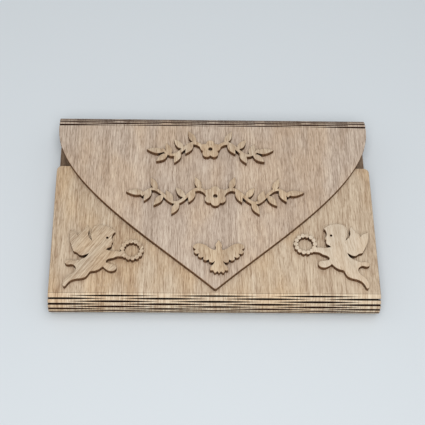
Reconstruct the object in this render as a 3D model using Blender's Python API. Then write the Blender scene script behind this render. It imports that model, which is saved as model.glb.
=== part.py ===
"""Wooden money envelope, laser-cut from thin plywood, closed and lying on its back.

One cut sheet makes the back, the front and the flap. Where it turns a corner it is cut into
a lattice of staggered slits, a living hinge. The bottom hinge is wrapped and glued for good.
The flap hinge is a row of narrow slats that rolls open. Strips glued in layers along both
sides hold the pocket open for banknotes, and flat cut-outs are glued on the front and flap.

Metres, +X to the right, +Y towards the flap hinge, +Z up out of the front.
The origin is under the middle of the outline, on the surface that the back lies on.
"""
import math

import bmesh
import bpy
from mathutils import Matrix, Vector
from mathutils.geometry import delaunay_2d_cdt, interpolate_bezier

# Driving dimensions of the sheet
SHEET = 0.003
WIDTH = 0.180
BACK_LENGTH = 0.107
FRONT_LENGTH = 0.0805
FRONT_CORNER_RADIUS = 0.003
FLAP_CLEARANCE = 0.0003
CORNER_STEPS = 6

# Flap outline: straight at the shoulders, then one curve down to the tip. Closed, it reaches
# down the front to this far above the bottom hinge
FLAP_TIP_MARGIN = 0.0005
FLAP_SHOULDER = 0.0028
FLAP_SHOULDER_PULL = 0.036
FLAP_TIP_PULL = 0.042
FLAP_TIP_ANGLE = math.radians(42.4)
FLAP_TIP_RADIUS = 0.0012
FLAP_CURVE_STEPS = 28

# Strips that hold the pocket open
SPACER_SHEET = 0.003
SPACER_WIDTH = 0.006
SPACER_LAYERS = 3
SPACER_HINGE_GAP = 0.0006
GLUE_LINE = 0.0002

# Living hinges
BOTTOM_SLATS = 15
FLAP_SLATS = 19
KERF = 0.0005
BRIDGE_PARTING = 0.0002
BRIDGE_LENGTH = 0.005
SLIT_SPACING = 0.055
SLIT_TAPER = 0.002
EDGE_STRIP = 0.0065
SLAT_TWIST = 0.5
TWIST_STEPS = 5

# Opening of the flap: how far each bend unrolls
FLAP_UNROLL = math.radians(8.25)

# Glued cut-outs: cherubs are placed from the side and bottom edges of the front panel, the
# garlands from the middle of the flap and down from its hinge, the dove up from its tip
ORNAMENT_SHEET = 0.003
CURVE_STEP = 0.0011
LEFT_CHERUB_INSET = 0.0276
LEFT_CHERUB_HEIGHT = 0.0324
LEFT_CHERUB_TURN = math.radians(-7.7)
RIGHT_CHERUB_INSET = 0.0221
RIGHT_CHERUB_HEIGHT = 0.0343
CHERUB_EYE_PLACE = (0.0032, -0.0001)
CHERUB_EYE_RADIUS = 0.0007
WREATH_CENTRE = (0.0178, -0.0055)
WREATH_RADIUS = 0.0053
WREATH_FLOWERS = 14
WREATH_FLOWER_RADIUS = 0.0013
DOVE_SHIFT = 0.0020
DOVE_RISE = 0.0178

# Garlands: each leaf is (stem point, heading in degrees, length), listed for the right-hand side
STEM_WIDTH = 0.0022
STEM_END_WIDTH = 0.0016
STEM_START = 0.003
LEAF_WIDTH = 0.0037
LEAF_FULLNESS = 0.85
FLOWER_CENTRE_SHARE = 0.62
PETAL_RADIUS_SHARE = 0.44
FLOWER_EYE_RADIUS = 0.0013
UPPER_GARLAND_SHIFT = -0.0020
UPPER_GARLAND_DROP = 0.0182
UPPER_GARLAND_STEM = 0.028
UPPER_GARLAND_SWING = 0.0042
UPPER_HALF_WAVE_COUNT = 2
UPPER_FLOWER_RADIUS = 0.0058
UPPER_PETAL_COUNT = 5
UPPER_GARLAND_LEAVES = (
    (3, 62, 0.0095), (4, -60, 0.0085), (7, 50, 0.0085), (8, -66, 0.0085),
    (11, 70, 0.0085), (12, -38, 0.0085), (13, 8, 0.0105),
)
LOWER_GARLAND_SHIFT = 0.0005
LOWER_GARLAND_DROP = 0.0497
LOWER_GARLAND_STEM = 0.0415
LOWER_GARLAND_SWING = 0.0045
LOWER_HALF_WAVE_COUNT = 3
LOWER_FLOWER_RADIUS = 0.0062
LOWER_PETAL_COUNT = 6
LOWER_GARLAND_LEAVES = (
    (3, 70, 0.0088), (5, -68, 0.0088), (8, 52, 0.0088), (10, -62, 0.0088), (12, 64, 0.0088),
    (15, -52, 0.0088), (17, 66, 0.0088), (19, -64, 0.0088), (21, 4, 0.0105),
)

# What follows from them
POCKET_DEPTH = SPACER_LAYERS * (SPACER_SHEET + GLUE_LINE) + GLUE_LINE
BODY_THICKNESS = 2.0 * SHEET + POCKET_DEPTH
MID_BACK = SHEET / 2.0
MID_FRONT = BODY_THICKNESS - SHEET / 2.0
MID_FLAP = BODY_THICKNESS + FLAP_CLEARANCE + SHEET / 2.0
BOTTOM_BEND = math.pi / (BOTTOM_SLATS + 1)
FLAP_BEND = math.pi / (FLAP_SLATS + 1)
BOTTOM_PITCH = (MID_FRONT - MID_BACK) * math.tan(BOTTOM_BEND / 2.0)
FLAP_PITCH = (MID_FLAP - MID_BACK) * math.tan(FLAP_BEND / 2.0)
BOTTOM_REACH = (MID_FRONT - MID_BACK - BOTTOM_PITCH + SHEET) / 2.0
FLAP_REACH = (MID_FLAP - MID_BACK - FLAP_PITCH + SHEET) / 2.0
BACK_LOW = (BOTTOM_REACH - FLAP_REACH - BACK_LENGTH) / 2.0
BACK_HIGH = BACK_LOW + BACK_LENGTH
FRONT_HIGH = BACK_LOW + FRONT_LENGTH
FLAP_LENGTH = BACK_LENGTH - FLAP_TIP_MARGIN
MIDDLE_SLAT = (FLAP_SLATS + 1) // 2

WOOD_ROUGHNESS = 0.75
WOOD_COLOURS = {
    "sheet": (0.56, 0.43, 0.31),
    "hinge": (0.60, 0.46, 0.33),
    "spacer": (0.52, 0.39, 0.27),
    "ornament": (0.55, 0.43, 0.32),
    "cherub": (0.60, 0.48, 0.33),
}


def clear_scene():
    for old in list(bpy.data.objects):
        bpy.data.objects.remove(old, do_unlink=True)


def make_wood(name):
    material = bpy.data.materials.new(name + "_wood")
    material.use_nodes = True
    shader = material.node_tree.nodes["Principled BSDF"]
    shader.inputs["Base Color"].default_value = (*WOOD_COLOURS[name], 1.0)
    shader.inputs["Roughness"].default_value = WOOD_ROUGHNESS
    return material


def add_object(name, mesh, material, location=(0.0, 0.0, 0.0), turn=(0.0, 0.0, 0.0), parent=None):
    node = bpy.data.objects.new(name, mesh)
    bpy.context.collection.objects.link(node)
    if not mesh.materials:
        mesh.materials.append(material)
    node.parent = parent
    node.location = location
    node.rotation_euler = turn
    return node


# Slit pattern of the living hinges


def bridges(row):
    """Stretches of the row that stay uncut. Rows are staggered by half a spacing."""
    half = WIDTH / 2.0
    shift = 0.0 if row % 2 == 0 else 0.5
    reach = int(half / SLIT_SPACING) + 1
    found = []
    for k in range(-reach - 1, reach + 1):
        middle = (k + shift) * SLIT_SPACING
        low = middle - BRIDGE_LENGTH / 2.0
        high = middle + BRIDGE_LENGTH / 2.0
        if low < -half + EDGE_STRIP:
            low = -half
        if high > half - EDGE_STRIP:
            high = half
        if low < half - EDGE_STRIP and high > -half + EDGE_STRIP:
            found.append((low, high))
    return found


def edge_stations(row):
    """Points along one cut row, as (x, True on a bridge or False beside a slit)."""
    half = WIDTH / 2.0
    spans = bridges(row)
    stations = []
    if spans[0][0] > -half:
        stations.append((-half, False))
    for low, high in spans:
        if low > -half:
            stations.append((low - SLIT_TAPER, False))
        stations.append((low, True))
        stations.append((high, True))
        if high < half:
            stations.append((high + SLIT_TAPER, False))
    if spans[-1][1] < half:
        stations.append((half, False))
    return stations


def row_edge(row, bend, inner):
    """Half the gap of a cut row along x. On the inner face the bridges lean back to let it bend."""
    lean = SHEET / 2.0 * math.tan(bend / 2.0) if inner else 0.0
    bridge_gap = BRIDGE_PARTING / 2.0 + lean
    return [(x, bridge_gap if bridge else KERF / 2.0) for x, bridge in edge_stations(row)]


def plate_mesh(name, levels):
    """Closed plate through outlines of equal length, lowest first, each anticlockwise from above."""
    shape = bmesh.new()
    rings = [[shape.verts.new((x, y, z)) for x, y in outline] for z, outline in levels]
    shape.faces.new(list(reversed(rings[0])))
    shape.faces.new(rings[-1])
    count = len(rings[0])
    for low, high in zip(rings, rings[1:]):
        for i in range(count):
            j = (i + 1) % count
            shape.faces.new((low[i], low[j], high[j], high[i]))
    mesh = bpy.data.meshes.new(name)
    shape.to_mesh(mesh)
    shape.free()
    return mesh


def slat_mesh(name, near_row, far_row, pitch, bend):
    """One slat in its own frame: it turns about its X axis and its outer face is at -Z."""
    levels = []
    for z, inner in ((-SHEET / 2.0, False), (0.0, False), (SHEET / 2.0, True)):
        near = row_edge(near_row, bend, inner)
        far = row_edge(far_row, bend, inner)
        outline = [(x, gap) for x, gap in near]
        outline += [(x, pitch - gap) for x, gap in reversed(far)]
        levels.append((z, outline))
    return plate_mesh(name, levels)


# Panels cut from the same sheet


QUARTER = math.pi / 2.0


def arc(centre, radius, start, end, steps):
    points = []
    for i in range(steps + 1):
        turn = start + (end - start) * i / steps
        points.append((centre[0] + radius * math.cos(turn), centre[1] + radius * math.sin(turn)))
    return points


def back_panel_mesh():
    levels = []
    for z, inner in ((0.0, False), (MID_BACK, False), (SHEET, True)):
        low = row_edge(BOTTOM_SLATS, BOTTOM_BEND, inner)
        high = row_edge(FLAP_SLATS, FLAP_BEND, inner)
        outline = [(x, BACK_LOW + gap) for x, gap in low]
        outline += [(x, BACK_HIGH - gap) for x, gap in reversed(high)]
        levels.append((z, outline))
    return plate_mesh("back_panel", levels)


def front_panel_mesh():
    levels = []
    half = WIDTH / 2.0
    inset = half - FRONT_CORNER_RADIUS
    top = FRONT_HIGH - FRONT_CORNER_RADIUS
    corners = arc((inset, top), FRONT_CORNER_RADIUS, 0.0, QUARTER, CORNER_STEPS)
    corners += arc((-inset, top), FRONT_CORNER_RADIUS, QUARTER, 2.0 * QUARTER, CORNER_STEPS)
    low_z = BODY_THICKNESS - SHEET
    for z, inner in ((low_z, True), (MID_FRONT, False), (BODY_THICKNESS, False)):
        outline = [(x, BACK_LOW + gap) for x, gap in row_edge(0, BOTTOM_BEND, inner)]
        outline += corners
        levels.append((z, outline))
    return plate_mesh("front_panel", levels)


def flap_side():
    """Right-hand edge of the flap from the shoulder to the rounded tip, in the flap's own frame."""
    half = WIDTH / 2.0
    start = Vector((half, FLAP_SHOULDER, 0.0))
    tip = Vector((0.0, FLAP_LENGTH, 0.0))
    along = Vector((math.cos(FLAP_TIP_ANGLE), -math.sin(FLAP_TIP_ANGLE), 0.0))
    knot_1 = start + Vector((0.0, FLAP_SHOULDER_PULL, 0.0))
    knot_2 = tip + along * FLAP_TIP_PULL
    curve = interpolate_bezier(start, knot_1, knot_2, tip, FLAP_CURVE_STEPS + 1)
    return [(point.x, point.y) for point in curve[:-1]]


def flap_mesh():
    side = flap_side()
    run = FLAP_TIP_RADIUS / math.tan(math.pi / 4.0 + FLAP_TIP_ANGLE / 2.0)
    side = [point for point in side if point[0] > run]
    drop = FLAP_TIP_RADIUS / math.cos(FLAP_TIP_ANGLE)
    start = QUARTER - FLAP_TIP_ANGLE
    end = QUARTER + FLAP_TIP_ANGLE
    tip = arc((0.0, FLAP_LENGTH - drop), FLAP_TIP_RADIUS, start, end, CORNER_STEPS)
    levels = []
    for z, inner in ((-SHEET / 2.0, False), (0.0, False), (SHEET / 2.0, True)):
        outline = [(x, gap) for x, gap in row_edge(0, FLAP_BEND, inner)]
        outline += side + tip + [(-x, y) for x, y in reversed(side)]
        levels.append((z, outline))
    return plate_mesh("flap", levels)


# Bottom hinge, wrapped round from the back to the front and fixed there


def bridge_share(row, x):
    """How much the lattice is held at x by the bridges of this row: 1 on a bridge, 0 between two."""
    shift = 0.0 if row % 2 == 0 else 0.5
    return (1.0 + math.cos(2.0 * math.pi * (x / SLIT_SPACING - shift))) / 2.0


def slat_point(slat, x, along, out):
    """Point of a wrapped slat: along its width from its middle, and out from its middle plane."""
    radius = BOTTOM_PITCH / 2.0 / math.tan(BOTTOM_BEND / 2.0)
    twist = bridge_share(BOTTOM_SLATS - slat, x) - bridge_share(BOTTOM_SLATS - slat + 1, x)
    turn = BOTTOM_BEND * slat
    lean = turn + SLAT_TWIST * BOTTOM_BEND / 2.0 * twist
    centre_y = BACK_LOW + BOTTOM_PITCH / 2.0 - radius * math.sin(turn)
    centre_z = MID_BACK + radius - radius * math.cos(turn)
    y = centre_y - along * math.cos(lean) - out * math.sin(lean)
    z = centre_z + along * math.sin(lean) - out * math.cos(lean)
    return Vector((x, y, z))


def hinge_xs(row):
    """Stations along a lattice row, with extra ones between the bridges for the twist."""
    base = edge_stations(row)
    xs = []
    for (x0, on0), (x1, on1) in zip(base, base[1:]):
        xs.append((x0, on0))
        slit = not on0 and not on1
        steps = max(1, round((x1 - x0) / SLIT_SPACING * TWIST_STEPS * 2)) if slit else 1
        xs += [(x0 + (x1 - x0) * k / steps, False) for k in range(1, steps)]
    xs.append(base[-1])
    return xs


def bottom_hinge_mesh():
    """The whole lattice as one piece: slats that twist between bridges, with slits right through."""
    shape = bmesh.new()
    half_pitch = BOTTOM_PITCH / 2.0
    outs = (SHEET / 2.0, -SHEET / 2.0)

    def free_edge(slat, row, side):
        line = []
        for x, bridge in hinge_xs(row):
            meets_panel = bridge and row in (0, BOTTOM_SLATS)
            gap = BRIDGE_PARTING / 2.0 if meets_panel else KERF / 2.0
            lean = SHEET / 2.0 * math.tan(BOTTOM_BEND / 2.0) if meets_panel else 0.0
            outer = slat_point(slat, x, side * (half_pitch - gap), outs[0])
            inner = slat_point(slat, x, side * (half_pitch - gap - lean), outs[1])
            line.append([shape.verts.new(outer), shape.verts.new(inner)])
        return line

    far_edges = {}
    near_edges = {}
    for row in range(BOTTOM_SLATS + 1):
        below = BOTTOM_SLATS - row
        above = below + 1
        below_line = free_edge(below, row, 1.0) if below >= 1 else None
        above_line = free_edge(above, row, -1.0) if above <= BOTTOM_SLATS else None
        if below_line and above_line:
            for i, (x, bridge) in enumerate(hinge_xs(row)):
                if not bridge:
                    continue
                for k, out in enumerate(outs):
                    meet = slat_point(below, x, half_pitch, out) + slat_point(above, x, -half_pitch, out)
                    shape.verts.remove(above_line[i][k])
                    below_line[i][k].co = meet / 2.0
                    above_line[i][k] = below_line[i][k]
        far_edges[below] = below_line
        near_edges[above] = above_line

    def wall(line, row, flip):
        states = [bridge for _, bridge in hinge_xs(row)]
        closed = row in (0, BOTTOM_SLATS)
        for i in range(len(line) - 1):
            if states[i] and states[i + 1] and not closed:
                continue
            quad = [line[i][0], line[i + 1][0], line[i + 1][1], line[i][1]]
            shape.faces.new(list(reversed(quad)) if flip else quad)

    for slat in range(1, BOTTOM_SLATS + 1):
        near = near_edges[slat]
        far = far_edges[slat]
        shape.faces.new([pair[0] for pair in near] + [pair[0] for pair in reversed(far)])
        shape.faces.new([pair[1] for pair in far] + [pair[1] for pair in reversed(near)])
        wall(near, BOTTOM_SLATS + 1 - slat, True)
        wall(far, BOTTOM_SLATS - slat, False)
        shape.faces.new((near[0][0], far[0][0], far[0][1], near[0][1]))
        shape.faces.new((far[-1][0], near[-1][0], near[-1][1], far[-1][1]))
    bmesh.ops.recalc_face_normals(shape, faces=shape.faces)
    mesh = bpy.data.meshes.new("bottom_hinge")
    shape.to_mesh(mesh)
    shape.free()
    return mesh


# Side strips


def spacer_mesh(name, side):
    """One strip; its outer top corner follows the front panel's round corner."""
    outer = WIDTH / 2.0
    inner = outer - SPACER_WIDTH
    low = BACK_LOW + SPACER_HINGE_GAP
    radius = FRONT_CORNER_RADIUS
    outline = [(inner, low), (outer, low)]
    outline += arc((outer - radius, FRONT_HIGH - radius), radius, 0.0, QUARTER, CORNER_STEPS)
    outline.append((inner, FRONT_HIGH))
    if side < 0:
        outline = [(-x, y) for x, y in reversed(outline)]
    return plate_mesh(name, [(0.0, outline), (SPACER_SHEET, outline)])


# Flat cut-outs, drawn as overlapping shapes and cut as one piece


def signed_area(outline):
    total = 0.0
    for (x0, y0), (x1, y1) in zip(outline, outline[1:] + outline[:1]):
        total += x0 * y1 - x1 * y0
    return total / 2.0


def united_loops(shapes, holes):
    """Border edges of all shapes together, less the holes, as points and index pairs."""
    points = []
    faces = []
    for outline in shapes + holes:
        ring = outline if signed_area(outline) > 0.0 else list(reversed(outline))
        faces.append(list(range(len(points), len(points) + len(ring))))
        points += [Vector(point) for point in ring]
    verts, _, tris, _, _, owners = delaunay_2d_cdt(points, [], faces, 1, 1e-7)
    uses = {}
    for tri, owner in zip(tris, owners):
        if not owner or any(index >= len(shapes) for index in owner):
            continue
        for a, b in zip(tri, tri[1:] + tri[:1]):
            key = (min(a, b), max(a, b))
            uses[key] = uses.get(key, 0) + 1
    border = sorted(key for key, count in uses.items() if count == 1)
    used = sorted({index for key in border for index in key})
    place = {index: k for k, index in enumerate(used)}
    return [verts[index] for index in used], [(place[a], place[b]) for a, b in border]


def is_inside(spot, points, border):
    """True where a line to the right of the spot crosses the border an odd number of times."""
    crossings = 0
    for a, b in border:
        low, high = sorted((points[a], points[b]), key=lambda point: point.y)
        if low.y <= spot.y < high.y:
            x = low.x + (high.x - low.x) * (spot.y - low.y) / (high.y - low.y)
            crossings += x > spot.x
    return crossings % 2 == 1


def cut_out_mesh(name, shapes, holes=()):
    """Flat piece of ORNAMENT_SHEET with its underside at z = 0."""
    points, border = united_loops(list(shapes), list(holes))
    verts, _, tris, _, _, _ = delaunay_2d_cdt(points, border, [], 1, 1e-7)
    shape = bmesh.new()
    corners = [shape.verts.new((point.x, point.y, 0.0)) for point in verts]
    faces = []
    for tri in tris:
        middle = sum((verts[index] for index in tri), Vector((0.0, 0.0))) / len(tri)
        if is_inside(middle, points, border):
            faces.append(shape.faces.new([corners[index] for index in tri]))
    lifted = bmesh.ops.extrude_face_region(shape, geom=faces)["geom"]
    top = [item for item in lifted if isinstance(item, bmesh.types.BMVert)]
    bmesh.ops.translate(shape, verts=top, vec=(0.0, 0.0, ORNAMENT_SHEET))
    bmesh.ops.recalc_face_normals(shape, faces=shape.faces)
    mesh = bpy.data.meshes.new(name)
    shape.to_mesh(mesh)
    shape.free()
    return mesh


def disc(centre, radius, sides):
    return arc(centre, radius, 0.0, 2.0 * math.pi * (sides - 1) / sides, sides - 1)


def leaf(root, heading, length, width):
    """Pointed leaf from its root along a heading in degrees, fullest below its middle."""
    steps = 8
    along = Vector((math.cos(math.radians(heading)), math.sin(math.radians(heading))))
    across = Vector((-along.y, along.x))
    right = []
    left = []
    for i in range(1, steps):
        share = i / steps
        half = width / 2.0 * math.sin(math.pi * share ** LEAF_FULLNESS)
        middle = Vector(root) + along * (length * share)
        right.append(tuple(middle - across * half))
        left.append(tuple(middle + across * half))
    tip = tuple(Vector(root) + along * length)
    return [tuple(root)] + right + [tip] + list(reversed(left))


def ribbon(path, width_start, width_end):
    """Band along a path of points, as one four-sided shape for each step."""
    count = len(path)
    left = []
    right = []
    for i, point in enumerate(path):
        ahead = Vector(path[min(i + 1, count - 1)]) - Vector(path[max(i - 1, 0)])
        across = Vector((-ahead.y, ahead.x)).normalized()
        half = (width_start + (width_end - width_start) * i / (count - 1)) / 2.0
        left.append(tuple(Vector(point) + across * half))
        right.append(tuple(Vector(point) - across * half))
    return [[right[i], right[i + 1], left[i + 1], left[i]] for i in range(count - 1)]


def smooth_outline(knots):
    """Closed curve through knots (x, y) or (x, y, 'corner') in millimetres, returned in metres."""
    count = len(knots)
    points = [Vector(knot[:2]) / 1000.0 for knot in knots]
    outline = []
    for i in range(count):
        start = points[i]
        end = points[(i + 1) % count]
        span = (end - start).length
        slopes = []
        for k in (i, (i + 1) % count):
            before = points[k] - points[k - 1]
            after = points[(k + 1) % count] - points[k]
            slope = before.normalized() * after.length + after.normalized() * before.length
            if len(knots[k]) > 2:
                slope = end - start
            slopes.append(slope.normalized() * span)
        steps = max(1, round(span / CURVE_STEP))
        for j in range(steps):
            t = j / steps
            point = start * (2 * t ** 3 - 3 * t ** 2 + 1) + end * (3 * t ** 2 - 2 * t ** 3)
            point += slopes[0] * (t ** 3 - 2 * t ** 2 + t) + slopes[1] * (t ** 3 - t ** 2)
            outline.append(tuple(point))
    return outline


CHERUB_KNOTS = (
    (7.0, 4.2, "corner"), (5.0, 5.9), (2.4, 6.9), (-0.8, 7.3), (-3.4, 6.9), (-5.3, 5.8, "corner"),
    (-6.0, 2.6), (-5.8, -0.3), (-4.7, -3.1, "corner"),
    (-6.7, -1.3), (-7.6, 1.0), (-7.5, 3.4), (-8.4, 6.1, "corner"),
    (-9.3, 4.2), (-10.9, 2.3), (-12.3, 0.9), (-13.2, -0.9, "corner"),
    (-14.1, 0.4), (-15.8, 1.4), (-17.8, 1.8, "corner"),
    (-17.6, -1.0), (-17.1, -3.8), (-16.2, -6.0), (-15.0, -8.4), (-13.6, -11.0, "corner"),
    (-12.6, -11.2), (-11.2, -11.6, "corner"), (-10.2, -12.6), (-8.9, -12.9), (-7.0, -12.3),
    (-5.1, -10.9, "corner"),
    (-5.6, -12.6), (-7.0, -14.2), (-9.6, -15.7), (-12.4, -16.6), (-15.6, -16.6), (-17.2, -17.9),
    (-15.8, -19.4), (-12.7, -18.9), (-11.0, -19.9), (-10.2, -21.6), (-11.1, -23.8), (-13.2, -25.6),
    (-14.9, -27.9), (-15.9, -30.6), (-14.6, -32.8), (-13.4, -31.0), (-12.0, -28.8), (-9.6, -27.4),
    (-6.6, -26.6), (-4.4, -25.5), (-3.2, -23.6), (-2.4, -21.8), (-0.4, -21.3), (1.6, -20.2),
    (3.9, -17.9, "corner"), (5.4, -19.1), (8.1, -20.1), (10.4, -19.5), (11.4, -17.9), (10.8, -16.4),
    (8.3, -15.9), (5.3, -15.4, "corner"),
    (4.9, -14.2), (5.9, -13.0), (8.3, -12.1), (10.7, -10.7), (12.8, -10.5), (14.2, -10.2, "corner"),
    (15.2, -8.7, "corner"), (13.0, -8.0), (10.2, -7.6), (7.0, -7.9), (3.8, -7.4, "corner"),
    (4.6, -6.3), (6.0, -5.6), (6.4, -4.3), (6.2, -3.2), (6.7, -2.2), (5.9, -0.6), (5.6, 1.2),
    (5.9, 2.7),
)


def cherub_mesh(name, mirror):
    """Child with a wing, holding a flower wreath out in front. It faces +X unless mirrored."""
    shapes = [smooth_outline(CHERUB_KNOTS)]
    for k in range(WREATH_FLOWERS):
        turn = 2.0 * math.pi * k / WREATH_FLOWERS
        x = WREATH_CENTRE[0] + WREATH_RADIUS * math.cos(turn)
        y = WREATH_CENTRE[1] + WREATH_RADIUS * math.sin(turn)
        shapes.append(disc((x, y), WREATH_FLOWER_RADIUS, 10))
    eye = disc(CHERUB_EYE_PLACE, CHERUB_EYE_RADIUS, 10)
    if mirror:
        shapes = [[(-x, y) for x, y in shape] for shape in shapes]
        eye = [(-x, y) for x, y in eye]
    return cut_out_mesh(name, shapes, [eye])


def rosette(radius, petals):
    """Round flower at the origin: petal discs about a middle disc."""
    reach = radius * FLOWER_CENTRE_SHARE
    shapes = [disc((0.0, 0.0), reach, 10)]
    for k in range(petals):
        turn = QUARTER + 2.0 * math.pi * k / petals
        middle = (reach * math.cos(turn), reach * math.sin(turn))
        shapes.append(disc(middle, radius * PETAL_RADIUS_SHARE, 10))
    return shapes


def garland_mesh(name, flower_shapes, stem_length, swing, half_waves, leaves):
    """A flower with a waving stem to each side that ends in a leaf."""
    shapes = list(flower_shapes)
    count = leaves[-1][0] + 1
    for side in (-1.0, 1.0):
        path = []
        for i in range(count + 1):
            share = i / count
            x = side * (STEM_START + (stem_length - STEM_START) * share)
            path.append((x, swing * math.sin(math.pi * half_waves * share)))
        shapes += ribbon(path, STEM_WIDTH, STEM_END_WIDTH)
        for i, heading, length in leaves:
            turn = heading if side > 0 else 180 - heading
            shapes.append(leaf(path[i], turn, length, LEAF_WIDTH))
    return cut_out_mesh(name, shapes, [disc((0.0, 0.0), FLOWER_EYE_RADIUS, 8)])


def upper_garland_mesh():
    flower = rosette(UPPER_FLOWER_RADIUS, UPPER_PETAL_COUNT)
    return garland_mesh("upper_garland", flower, UPPER_GARLAND_STEM, UPPER_GARLAND_SWING,
                        UPPER_HALF_WAVE_COUNT, UPPER_GARLAND_LEAVES)


def lower_garland_mesh():
    flower = rosette(LOWER_FLOWER_RADIUS, LOWER_PETAL_COUNT)
    return garland_mesh("lower_garland", flower, LOWER_GARLAND_STEM, LOWER_GARLAND_SWING,
                        LOWER_HALF_WAVE_COUNT, LOWER_GARLAND_LEAVES)


DOVE_HALF_KNOTS = (
    (0.0, -9.6, "corner"), (1.0, -8.4, "corner"), (2.4, -9.4), (3.2, -7.7, "corner"), (4.9, -7.8),
    (4.6, -5.8), (3.0, -3.9), (2.2, -2.2, "corner"), (3.6, -3.2), (5.2, -2.8), (5.6, -1.2, "corner"),
    (7.2, -2.0), (8.6, -1.2), (8.4, 0.4, "corner"), (10.2, -0.2), (11.4, 0.8), (10.8, 2.4, "corner"),
    (12.6, 2.2), (13.7, 3.4), (12.6, 4.9, "corner"), (14.2, 6.4), (12.4, 8.4), (9.6, 8.6), (6.6, 7.2),
    (4.0, 5.2), (1.9, 4.6, "corner"), (1.5, 6.0), (1.9, 7.6), (1.2, 9.1), (0.0, 10.9, "corner"),
)


def dove_mesh():
    """Bird with spread wings and a fanned tail, seen from above with its head up."""
    left_side = [(-knot[0], *knot[1:]) for knot in reversed(DOVE_HALF_KNOTS[1:-1])]
    return cut_out_mesh("dove", [smooth_outline(list(DOVE_HALF_KNOTS) + left_side)])


# Flap hinge, closed and part of the way open


def hinge_place(slat, bend):
    """Place of a slat when every bend of the hinge is alike. The back panel is 0, the flap the last."""
    place = Matrix.Translation((0.0, BACK_HIGH - FLAP_PITCH, MID_BACK))
    step = Matrix.Translation((0.0, FLAP_PITCH, 0.0)) @ Matrix.Rotation(bend, 4, "X")
    for _ in range(slat):
        place = place @ step
    return place


def pivot_place(slat, carrier):
    """Line that a slat turns about on its carrier: the mean of the bends between them, half open."""
    half_open = FLAP_BEND - FLAP_UNROLL / 2.0
    seat = hinge_place(carrier, half_open).inverted()
    lines = [seat @ hinge_place(k, half_open).translation for k in range(carrier + 1, slat + 1)]
    return hinge_place(carrier, FLAP_BEND) @ (sum(lines, Vector()) / len(lines))


def add_turning(name, mesh, material, slat, carrier_node):
    """A slat, or the flap, hung from an empty on its pivot, which hangs from what carries it."""
    carrier = MIDDLE_SLAT if slat > MIDDLE_SLAT else 0
    carrier_place = hinge_place(carrier, FLAP_BEND) if carrier_node else Matrix()
    pivot = Matrix.Translation(pivot_place(slat, carrier))
    empty = bpy.data.objects.new(name + "_pivot", None)
    bpy.context.collection.objects.link(empty)
    empty.parent = carrier_node
    empty.matrix_basis = carrier_place.inverted() @ pivot
    node = add_object(name, mesh, material)
    node.parent = empty
    node.matrix_basis = pivot.inverted() @ hinge_place(slat, FLAP_BEND)
    return node


def add_flap_hinge(wood):
    """All the slats from the back panel to the flap, and the flap, which is returned."""
    meshes = {}
    middle_node = None
    for slat in range(1, FLAP_SLATS + 1):
        near_row = FLAP_SLATS - slat + 1
        kind = near_row % 2
        if kind not in meshes:
            meshes[kind] = slat_mesh(f"hinge_slat_{kind}", near_row, near_row - 1, FLAP_PITCH, FLAP_BEND)
        node = add_turning(f"hinge_slat_{slat:02d}", meshes[kind], wood["hinge"], slat, middle_node)
        if slat == MIDDLE_SLAT:
            middle_node = node
    return add_turning("flap", flap_mesh(), wood["sheet"], FLAP_SLATS + 1, middle_node)


def add_cherub(name, mirror, inset, height, turn, material):
    side = 1.0 if mirror else -1.0
    spot = (side * (WIDTH / 2.0 - inset), BACK_LOW + height, BODY_THICKNESS + GLUE_LINE)
    add_object(name, cherub_mesh(name, mirror), material, spot, (0.0, 0.0, turn))


def add_on_flap(mesh, shift, drop, material, flap):
    """The flap's outer face is its own -Z face, so what lies on it is turned over."""
    spot = (shift, drop, -SHEET / 2.0 - GLUE_LINE)
    add_object(mesh.name, mesh, material, spot, (math.pi, 0.0, 0.0), flap)


def build():
    clear_scene()
    wood = {name: make_wood(name) for name in WOOD_COLOURS}
    add_object("back_panel", back_panel_mesh(), wood["sheet"])
    add_object("bottom_hinge", bottom_hinge_mesh(), wood["hinge"])
    add_object("front_panel", front_panel_mesh(), wood["sheet"])
    for side, word in ((-1, "left"), (1, "right")):
        mesh = spacer_mesh("spacer_" + word, side)
        for layer in range(SPACER_LAYERS):
            z = SHEET + GLUE_LINE + layer * (SPACER_SHEET + GLUE_LINE)
            add_object(f"spacer_{word}_{layer + 1}", mesh, wood["spacer"], (0.0, 0.0, z))
    cherub_wood = wood["cherub"]
    add_cherub("left_cherub", False, LEFT_CHERUB_INSET, LEFT_CHERUB_HEIGHT, LEFT_CHERUB_TURN, cherub_wood)
    add_cherub("right_cherub", True, RIGHT_CHERUB_INSET, RIGHT_CHERUB_HEIGHT, 0.0, cherub_wood)
    flap = add_flap_hinge(wood)
    ornament_wood = wood["ornament"]
    add_on_flap(upper_garland_mesh(), UPPER_GARLAND_SHIFT, UPPER_GARLAND_DROP, ornament_wood, flap)
    add_on_flap(lower_garland_mesh(), LOWER_GARLAND_SHIFT, LOWER_GARLAND_DROP, ornament_wood, flap)
    add_on_flap(dove_mesh(), DOVE_SHIFT, FLAP_LENGTH - DOVE_RISE, ornament_wood, flap)
    bpy.context.view_layer.update()


build()
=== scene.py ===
# %% [markdown]
# # A wooden money envelope
#
# This lesson dresses a small laser-cut envelope of 3 mm plywood. One sheet is cut into a back,
# a front and a pointed flap, and between them it is slit into narrow strips so that it can bend:
# that is a living hinge. Two cherubs with flower wreaths, two leaf garlands and a dove are cut
# from the same kind of sheet and glued on.
#
# The engineering model already has the right shapes and joints. It is loaded first and never
# changed. Each dressed piece starts as a copy of one of its nodes, and gets what a laser leaves
# on real plywood: soft rims, burnt walls with the plies showing, and a grain that runs its way.

import math

import bmesh
import bpy
from mathutils import Matrix, Vector
from mathutils.bvhtree import BVHTree


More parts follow.
